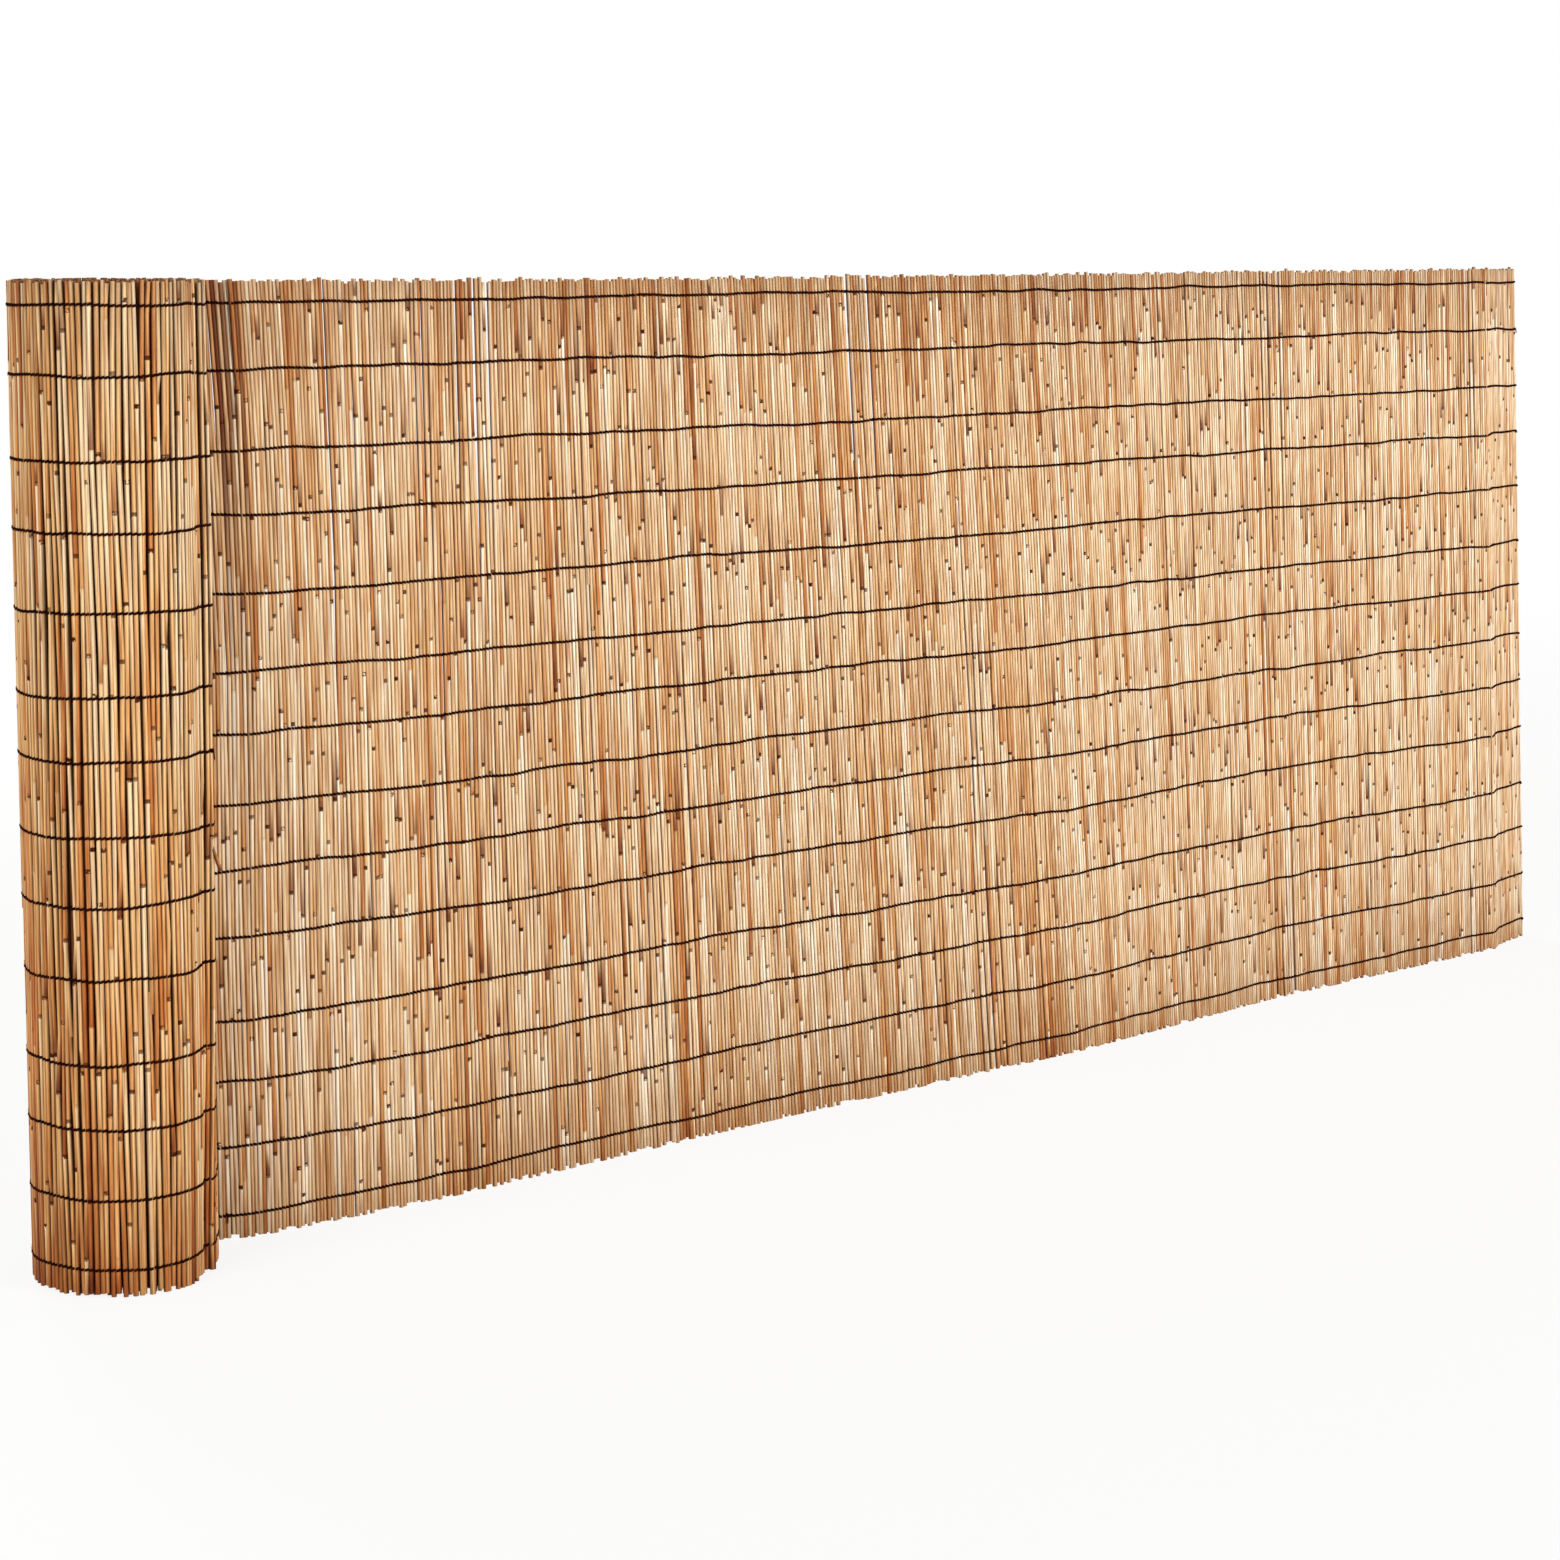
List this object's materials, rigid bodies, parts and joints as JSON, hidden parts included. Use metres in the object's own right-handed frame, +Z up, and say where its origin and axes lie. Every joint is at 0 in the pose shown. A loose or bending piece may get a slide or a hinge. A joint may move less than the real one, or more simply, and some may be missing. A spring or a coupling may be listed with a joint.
{
  "type": "artificial reed screening roll",
  "caption": "Upright screening mat of thin reed stems bound by rows of dark wire, partly unrolled: a closed roll standing on its end with the open sheet running away from it.",
  "frame": {"origin": "on the floor under the middle of the whole mat's box", "axes": "+X from the roll along the open sheet, +Z up along the stems"},
  "size_m": [2.4682, 0.1914, 1],
  "materials": {
    "reed": "satin",
    "reed_shade": "satin",
    "wire": "matte"
  },
  "bodies": {
    "root": {"rolled_turns": "reed_shade", "outer_turn_reeds": "reed", "open_sheet_reeds": "reed", "binding_wire_row_01": "wire", "binding_wire_row_02": "wire", "binding_wire_row_03": "wire", "binding_wire_row_04": "wire", "binding_wire_row_05": "wire", "binding_wire_row_06": "wire", "binding_wire_row_07": "wire", "binding_wire_row_08": "wire", "binding_wire_row_09": "wire", "binding_wire_row_10": "wire", "binding_wire_row_11": "wire", "binding_wire_row_12": "wire", "binding_wire_row_13": "wire", "binding_wire_row_14": "wire"}
  },
  "joints": []
}
